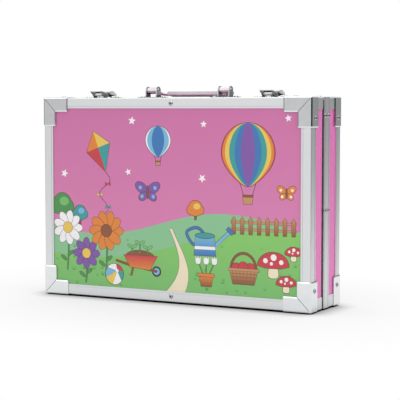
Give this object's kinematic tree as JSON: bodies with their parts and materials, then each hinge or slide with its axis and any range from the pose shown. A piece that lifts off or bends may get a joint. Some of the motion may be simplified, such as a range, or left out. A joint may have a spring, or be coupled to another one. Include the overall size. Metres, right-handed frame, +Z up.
{
  "type": "art set case",
  "caption": "Hinged carrying case for art supplies: printed board shells in an aluminium frame, with draw latches, a folding handle and divided inner trays.",
  "frame": {"origin": "on the floor under the middle of the case as it stands on its hinge side", "axes": "+X along the case's width to the right seen from the printed front, +Y from the printed front to the back, +Z up towards the handle"},
  "size_m": [0.4048, 0.0948, 0.2857],
  "materials": {
    "frame_aluminium": "satin anodised, drawn lines along its length",
    "plated_steel": "bright nickel plate over pressed steel",
    "rivet_aluminium": "smooth, semi-bright",
    "handle_steel": "bright nickel plate",
    "front_print": "glossy printed laminate on hardboard",
    "side_laminate": "glossy pink laminate on hardboard",
    "tray_plastic": "moulded, semi-gloss white",
    "grip_plastic": "smooth light grey"
  },
  "bodies": {
    "rear_case": {"rear_panel": "side_laminate", "rear_corner_posts": "frame_aluminium", "rear_rivets": "rivet_aluminium", "rear_tray": "tray_plastic", "rear_hinge_leaves": "plated_steel", "rear_edge_top": "frame_aluminium", "rear_edge_bottom": "frame_aluminium", "rear_edge_left": "frame_aluminium", "rear_edge_right": "frame_aluminium", "rear_wall_top": "side_laminate", "rear_wall_bottom": "side_laminate", "rear_wall_left": "side_laminate", "rear_wall_right": "side_laminate", "rear_seam_top": "frame_aluminium", "rear_seam_bottom": "frame_aluminium", "rear_seam_left": "frame_aluminium", "rear_seam_right": "frame_aluminium", "rear_bracket_top_left": "plated_steel", "rear_bracket_top_right": "plated_steel", "rear_bracket_bottom_left": "plated_steel", "rear_bracket_bottom_right": "plated_steel", "hinge_pins": "plated_steel", "latch_keepers": "plated_steel", "handle_foot_left": "handle_steel", "handle_foot_right": "handle_steel", "handle_pins": "handle_steel"},
    "front_case": {"front_panel": "front_print", "front_corner_posts": "frame_aluminium", "front_rivets": "rivet_aluminium", "front_tray": "tray_plastic", "front_hinge_leaves": "plated_steel", "front_edge_top": "frame_aluminium", "front_edge_bottom": "frame_aluminium", "front_edge_left": "frame_aluminium", "front_edge_right": "frame_aluminium", "front_wall_top": "side_laminate", "front_wall_bottom": "side_laminate", "front_wall_left": "side_laminate", "front_wall_right": "side_laminate", "front_seam_top": "frame_aluminium", "front_seam_bottom": "frame_aluminium", "front_seam_left": "frame_aluminium", "front_seam_right": "frame_aluminium", "front_bracket_top_left": "plated_steel", "front_bracket_top_right": "plated_steel", "front_bracket_bottom_left": "plated_steel", "front_bracket_bottom_right": "plated_steel", "latch_base_left": "plated_steel", "latch_base_right": "plated_steel", "latch_pivots": "plated_steel"},
    "lever_left": {"latch_lever_left": "plated_steel"},
    "lever_right": {"latch_lever_right": "plated_steel"},
    "claw_left": {"latch_claw_left": "plated_steel"},
    "claw_right": {"latch_claw_right": "plated_steel"},
    "handle": {"handle_bail": "handle_steel", "handle_grip": "grip_plastic"}
  },
  "joints": [
    {"name": "lid_hinge", "type": "hinge", "parent": "rear_case", "child": "front_case", "pos_m": [0, -0.00875, 0.0019], "axis": [1, 0, 0], "range_deg": [0, 165]},
    {"name": "handle_swing", "type": "hinge", "parent": "rear_case", "child": "handle", "pos_m": [0, 0.00225, 0.2802], "axis": [1, 0, 0], "range_deg": [0, 199]},
    {"name": "lever_left_turn", "type": "hinge", "parent": "front_case", "child": "lever_left", "pos_m": [-0.128, -0.0138, 0.275], "axis": [-1, 0, 0], "range_deg": [0, 90]},
    {"name": "claw_left_turn", "type": "hinge", "parent": "lever_left", "child": "claw_left", "pos_m": [-0.128, -0.01876, 0.27439], "axis": [-1, 0, 0], "range_deg": [-90, 0]},
    {"name": "lever_right_turn", "type": "hinge", "parent": "front_case", "child": "lever_right", "pos_m": [0.128, -0.0138, 0.275], "axis": [-1, 0, 0], "range_deg": [0, 90]},
    {"name": "claw_right_turn", "type": "hinge", "parent": "lever_right", "child": "claw_right", "pos_m": [0.128, -0.01876, 0.27439], "axis": [-1, 0, 0], "range_deg": [-90, 0]}
  ],
  "couplings": [
    {"joint": "claw_left_turn", "follows": "lever_left_turn", "ratio": -1},
    {"joint": "claw_right_turn", "follows": "lever_right_turn", "ratio": -1}
  ]
}
